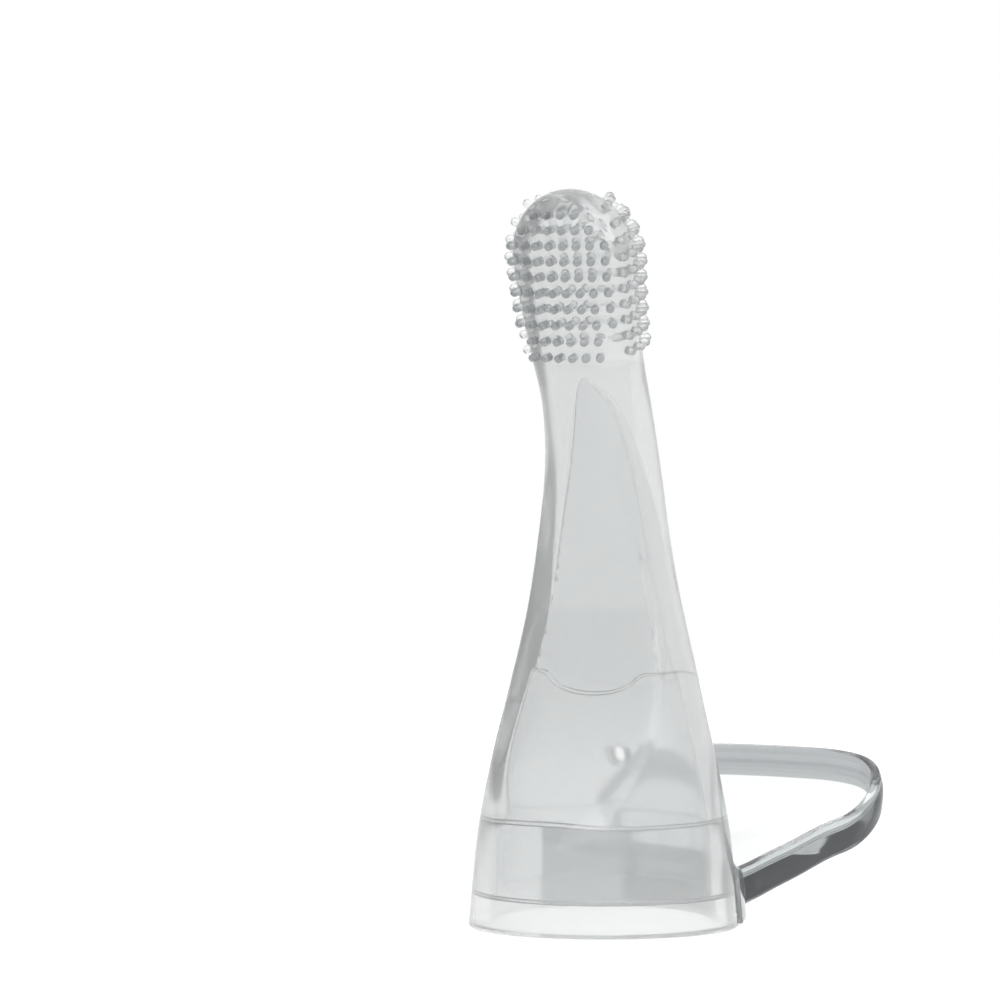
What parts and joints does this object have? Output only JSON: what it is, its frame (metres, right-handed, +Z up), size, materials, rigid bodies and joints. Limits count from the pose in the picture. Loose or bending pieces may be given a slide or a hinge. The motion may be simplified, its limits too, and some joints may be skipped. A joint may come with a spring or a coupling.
{
  "type": "finger toothbrush",
  "caption": "Clear silicone finger sleeve that tapers to a small head covered in short soft bristles, with a dished grip tab at its mouth, for brushing a pet's teeth.",
  "frame": {"origin": "middle of the object's footprint, on the plane that the open mouth stands on", "axes": "+Z up the sleeve towards the head, -Y towards the scooped and bristled face, +Y towards the grip tab, +X across"},
  "size_m": [0.0322, 0.0502, 0.0759],
  "materials": {
    "clear_silicone": "satin",
    "gloss_silicone": "gloss",
    "bristle_silicone": "gloss"
  },
  "bodies": {
    "sleeve": {"mouth_ring": "gloss_silicone", "cuff": "clear_silicone", "finger_sleeve": "clear_silicone", "tab_root": "gloss_silicone", "flex_neck": "clear_silicone", "hinge_web": "gloss_silicone"},
    "head": {"head_core": "clear_silicone", "front_bristle_row_01": "bristle_silicone", "front_bristle_row_02": "bristle_silicone", "front_bristle_row_03": "bristle_silicone", "front_bristle_row_04": "bristle_silicone", "front_bristle_row_05": "bristle_silicone", "front_bristle_row_06": "bristle_silicone", "front_bristle_row_07": "bristle_silicone", "front_bristle_row_08": "bristle_silicone", "front_bristle_row_09": "bristle_silicone", "front_bristle_row_10": "bristle_silicone", "back_bristle_row_01": "bristle_silicone", "back_bristle_row_02": "bristle_silicone", "back_bristle_row_03": "bristle_silicone", "back_bristle_row_04": "bristle_silicone", "back_bristle_row_05": "bristle_silicone", "back_bristle_row_06": "bristle_silicone", "back_bristle_row_07": "bristle_silicone", "back_bristle_row_08": "bristle_silicone", "back_bristle_row_09": "bristle_silicone", "back_bristle_row_10": "bristle_silicone"},
    "tab": {"thumb_tab": "gloss_silicone", "tab_rim": "gloss_silicone"}
  },
  "joints": [
    {"name": "head_flex", "type": "hinge", "parent": "sleeve", "child": "head", "pos_m": [0, -0.0124, 0.05], "axis": [1, 0, 0], "range_deg": [-15, 15], "stiffness_Nm_per_rad": 0.13, "deforming": ["flex_neck"]},
    {"name": "tab_hinge", "type": "hinge", "parent": "sleeve", "child": "tab", "pos_m": [0, 0.0051, 0.002], "axis": [1, 0, 0], "range_deg": [-25, 30], "stiffness_Nm_per_rad": 0.02, "deforming": ["hinge_web"]}
  ]
}
